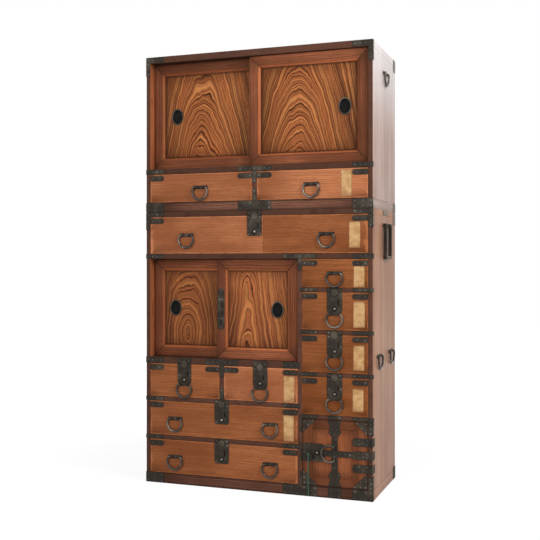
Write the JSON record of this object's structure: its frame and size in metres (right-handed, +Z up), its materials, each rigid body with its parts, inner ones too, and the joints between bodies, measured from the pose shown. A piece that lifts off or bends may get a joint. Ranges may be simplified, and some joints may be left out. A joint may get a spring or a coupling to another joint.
{
  "type": "merchant's chest of drawers",
  "caption": "Tall stacked wooden merchant's chest with drawers, sliding cabinet doors, a hinged iron-bound safe door, lock plates and swinging ring pulls.",
  "frame": {"origin": "middle of the bounding box on the floor", "axes": "+Z up, the drawer fronts face -Y, +X to the right seen from the front"},
  "size_m": [0.944, 0.4028, 1.67],
  "materials": {
    "case_wood": "worn wiped lacquer",
    "frame_wood": "wiped lacquer",
    "door_wood": "wiped lacquer over bold grain",
    "drawer_wood": "worn wiped lacquer",
    "sheet_iron": "blackened, worn",
    "forged_iron": "blackened, rubbed bright where held",
    "green_cord": "twisted cotton, faded"
  },
  "bodies": {
    "case": {"lower_case": "case_wood", "lower_front_frame": "frame_wood", "lower_case_irons": "sheet_iron", "upper_case": "case_wood", "upper_front_frame": "frame_wood", "upper_case_irons": "sheet_iron"},
    "upper_left_drawer": {"upper_left_drawer": "drawer_wood", "upper_left_drawer_irons": "sheet_iron"},
    "upper_left_drawer_ring": {"upper_left_drawer_ring": "forged_iron"},
    "upper_right_drawer": {"upper_right_drawer": "drawer_wood", "upper_right_drawer_irons": "sheet_iron"},
    "upper_right_drawer_ring": {"upper_right_drawer_ring": "forged_iron"},
    "wide_drawer": {"wide_drawer": "drawer_wood", "wide_drawer_irons": "sheet_iron"},
    "wide_drawer_left_ring": {"wide_drawer_left_ring": "forged_iron"},
    "wide_drawer_right_ring": {"wide_drawer_right_ring": "forged_iron"},
    "long_upper_drawer": {"long_upper_drawer": "drawer_wood", "long_upper_drawer_irons": "sheet_iron"},
    "long_upper_drawer_left_ring": {"long_upper_drawer_left_ring": "forged_iron"},
    "long_upper_drawer_right_ring": {"long_upper_drawer_right_ring": "forged_iron"},
    "long_lower_drawer": {"long_lower_drawer": "drawer_wood", "long_lower_drawer_irons": "sheet_iron"},
    "long_lower_drawer_left_ring": {"long_lower_drawer_left_ring": "forged_iron"},
    "long_lower_drawer_right_ring": {"long_lower_drawer_right_ring": "forged_iron"},
    "small_left_drawer": {"small_left_drawer": "drawer_wood", "small_left_drawer_irons": "sheet_iron"},
    "small_left_drawer_ring": {"small_left_drawer_ring": "forged_iron"},
    "small_right_drawer": {"small_right_drawer": "drawer_wood", "small_right_drawer_irons": "sheet_iron"},
    "small_right_drawer_ring": {"small_right_drawer_ring": "forged_iron"},
    "column_drawer_1": {"column_drawer_1": "drawer_wood", "column_drawer_1_irons": "sheet_iron"},
    "column_drawer_1_ring": {"column_drawer_1_ring": "forged_iron"},
    "column_drawer_2": {"column_drawer_2": "drawer_wood", "column_drawer_2_irons": "sheet_iron"},
    "column_drawer_2_ring": {"column_drawer_2_ring": "forged_iron"},
    "column_drawer_3": {"column_drawer_3": "drawer_wood", "column_drawer_3_irons": "sheet_iron"},
    "column_drawer_3_ring": {"column_drawer_3_ring": "forged_iron"},
    "column_drawer_4": {"column_drawer_4": "drawer_wood", "column_drawer_4_irons": "sheet_iron"},
    "column_drawer_4_ring": {"column_drawer_4_ring": "forged_iron"},
    "upper_left_door": {"upper_left_door": "door_wood", "upper_left_door_pull": "sheet_iron"},
    "upper_right_door": {"upper_right_door": "door_wood", "upper_right_door_pull": "sheet_iron"},
    "lower_left_door": {"lower_left_door": "door_wood", "lower_left_door_pull": "sheet_iron"},
    "lower_right_door": {"lower_right_door": "door_wood", "lower_right_door_pull": "sheet_iron"},
    "safe_door": {"safe_door": "door_wood", "safe_door_irons": "sheet_iron", "lock_cord": "green_cord"},
    "safe_door_ring": {"safe_door_ring": "forged_iron"},
    "right_pole_handle": {"right_pole_handle": "forged_iron"},
    "right_upper_ring": {"right_upper_ring": "forged_iron"},
    "right_lower_rings": {"right_lower_rings": "forged_iron"},
    "left_pole_handle": {"left_pole_handle": "forged_iron"},
    "left_upper_ring": {"left_upper_ring": "forged_iron"},
    "left_lower_rings": {"left_lower_rings": "forged_iron"}
  },
  "joints": [
    {"name": "upper_left_drawer_slide", "type": "slide", "parent": "case", "child": "upper_left_drawer", "axis": [0, -1, 0], "range_m": [0, 0.3]},
    {"name": "upper_left_drawer_ring_swing", "type": "hinge", "parent": "upper_left_drawer", "child": "upper_left_drawer_ring", "pos_m": [-0.2235, -0.1966, 1.153], "axis": [-1, 0, 0], "range_deg": [0, 170]},
    {"name": "upper_right_drawer_slide", "type": "slide", "parent": "case", "child": "upper_right_drawer", "axis": [0, -1, 0], "range_m": [0, 0.3]},
    {"name": "upper_right_drawer_ring_swing", "type": "hinge", "parent": "upper_right_drawer", "child": "upper_right_drawer_ring", "pos_m": [0.2235, -0.1966, 1.153], "axis": [-1, 0, 0], "range_deg": [0, 170]},
    {"name": "wide_drawer_slide", "type": "slide", "parent": "case", "child": "wide_drawer", "axis": [0, -1, 0], "range_m": [0, 0.3]},
    {"name": "wide_drawer_left_ring_swing", "type": "hinge", "parent": "wide_drawer", "child": "wide_drawer_left_ring", "pos_m": [-0.282, -0.1966, 0.969], "axis": [-1, 0, 0], "range_deg": [0, 170]},
    {"name": "wide_drawer_right_ring_swing", "type": "hinge", "parent": "wide_drawer", "child": "wide_drawer_right_ring", "pos_m": [0.282, -0.1966, 0.969], "axis": [-1, 0, 0], "range_deg": [0, 170]},
    {"name": "long_upper_drawer_slide", "type": "slide", "parent": "case", "child": "long_upper_drawer", "axis": [0, -1, 0], "range_m": [0, 0.3]},
    {"name": "long_upper_drawer_left_ring_swing", "type": "hinge", "parent": "long_upper_drawer", "child": "long_upper_drawer_left_ring", "pos_m": [-0.33, -0.1966, 0.2555], "axis": [-1, 0, 0], "range_deg": [0, 170]},
    {"name": "long_upper_drawer_right_ring_swing", "type": "hinge", "parent": "long_upper_drawer", "child": "long_upper_drawer_right_ring", "pos_m": [0.063, -0.1966, 0.2555], "axis": [-1, 0, 0], "range_deg": [0, 170]},
    {"name": "long_lower_drawer_slide", "type": "slide", "parent": "case", "child": "long_lower_drawer", "axis": [0, -1, 0], "range_m": [0, 0.3]},
    {"name": "long_lower_drawer_left_ring_swing", "type": "hinge", "parent": "long_lower_drawer", "child": "long_lower_drawer_left_ring", "pos_m": [-0.33, -0.1966, 0.1065], "axis": [-1, 0, 0], "range_deg": [0, 170]},
    {"name": "long_lower_drawer_right_ring_swing", "type": "hinge", "parent": "long_lower_drawer", "child": "long_lower_drawer_right_ring", "pos_m": [0.063, -0.1966, 0.1065], "axis": [-1, 0, 0], "range_deg": [0, 170]},
    {"name": "small_left_drawer_slide", "type": "slide", "parent": "case", "child": "small_left_drawer", "axis": [0, -1, 0], "range_m": [0, 0.3]},
    {"name": "small_left_drawer_ring_swing", "type": "hinge", "parent": "small_left_drawer", "child": "small_left_drawer_ring", "pos_m": [-0.29025, -0.1966, 0.3885], "axis": [-1, 0, 0], "range_deg": [0, 170]},
    {"name": "small_right_drawer_slide", "type": "slide", "parent": "case", "child": "small_right_drawer", "axis": [0, -1, 0], "range_m": [0, 0.3]},
    {"name": "small_right_drawer_ring_swing", "type": "hinge", "parent": "small_right_drawer", "child": "small_right_drawer_ring", "pos_m": [0.02325, -0.1966, 0.3885], "axis": [-1, 0, 0], "range_deg": [0, 170]},
    {"name": "column_drawer_1_slide", "type": "slide", "parent": "case", "child": "column_drawer_1", "axis": [0, -1, 0], "range_m": [0, 0.3]},
    {"name": "column_drawer_1_ring_swing", "type": "hinge", "parent": "column_drawer_1", "child": "column_drawer_1_ring", "pos_m": [0.313, -0.1966, 0.824], "axis": [-1, 0, 0], "range_deg": [0, 170]},
    {"name": "column_drawer_2_slide", "type": "slide", "parent": "case", "child": "column_drawer_2", "axis": [0, -1, 0], "range_m": [0, 0.3]},
    {"name": "column_drawer_2_ring_swing", "type": "hinge", "parent": "column_drawer_2", "child": "column_drawer_2_ring", "pos_m": [0.313, -0.1966, 0.6745], "axis": [-1, 0, 0], "range_deg": [0, 170]},
    {"name": "column_drawer_3_slide", "type": "slide", "parent": "case", "child": "column_drawer_3", "axis": [0, -1, 0], "range_m": [0, 0.3]},
    {"name": "column_drawer_3_ring_swing", "type": "hinge", "parent": "column_drawer_3", "child": "column_drawer_3_ring", "pos_m": [0.313, -0.1966, 0.5185], "axis": [-1, 0, 0], "range_deg": [0, 170]},
    {"name": "column_drawer_4_slide", "type": "slide", "parent": "case", "child": "column_drawer_4", "axis": [0, -1, 0], "range_m": [0, 0.3]},
    {"name": "column_drawer_4_ring_swing", "type": "hinge", "parent": "column_drawer_4", "child": "column_drawer_4_ring", "pos_m": [0.313, -0.1966, 0.3625], "axis": [-1, 0, 0], "range_deg": [0, 170]},
    {"name": "upper_left_door_slide", "type": "slide", "parent": "case", "child": "upper_left_door", "axis": [1, 0, 0], "range_m": [0, 0.41]},
    {"name": "upper_right_door_slide", "type": "slide", "parent": "case", "child": "upper_right_door", "axis": [1, 0, 0], "range_m": [-0.41, 0]},
    {"name": "lower_left_door_slide", "type": "slide", "parent": "case", "child": "lower_left_door", "axis": [1, 0, 0], "range_m": [0, 0.277]},
    {"name": "lower_right_door_slide", "type": "slide", "parent": "case", "child": "lower_right_door", "axis": [1, 0, 0], "range_m": [-0.277, 0]},
    {"name": "safe_door_hinge", "type": "hinge", "parent": "case", "child": "safe_door", "pos_m": [0.4525, -0.1931, 0.164], "axis": [0, 0, 1], "range_deg": [0, 170]},
    {"name": "safe_door_ring_swing", "type": "hinge", "parent": "safe_door", "child": "safe_door_ring", "pos_m": [0.313, -0.1969, 0.164], "axis": [0, 0, 1], "range_deg": [0, 170]},
    {"name": "right_pole_handle_swing", "type": "hinge", "parent": "case", "child": "right_pole_handle", "pos_m": [0.465, 0.0214, 1.004], "axis": [0, -1, 0], "range_deg": [0, 170]},
    {"name": "right_upper_ring_swing", "type": "hinge", "parent": "case", "child": "right_upper_ring", "pos_m": [0.463, 0.0114, 1.582], "axis": [0, -1, 0], "range_deg": [0, 170]},
    {"name": "right_lower_rings_swing", "type": "hinge", "parent": "case", "child": "right_lower_rings", "pos_m": [0.463, 0.0114, 0.516], "axis": [0, -1, 0], "range_deg": [0, 170]},
    {"name": "left_pole_handle_swing", "type": "hinge", "parent": "case", "child": "left_pole_handle", "pos_m": [-0.465, 0.0214, 1.004], "axis": [0, 1, 0], "range_deg": [0, 170]},
    {"name": "left_upper_ring_swing", "type": "hinge", "parent": "case", "child": "left_upper_ring", "pos_m": [-0.463, 0.0114, 1.582], "axis": [0, 1, 0], "range_deg": [0, 170]},
    {"name": "left_lower_rings_swing", "type": "hinge", "parent": "case", "child": "left_lower_rings", "pos_m": [-0.463, 0.0114, 0.516], "axis": [0, 1, 0], "range_deg": [0, 170]}
  ]
}
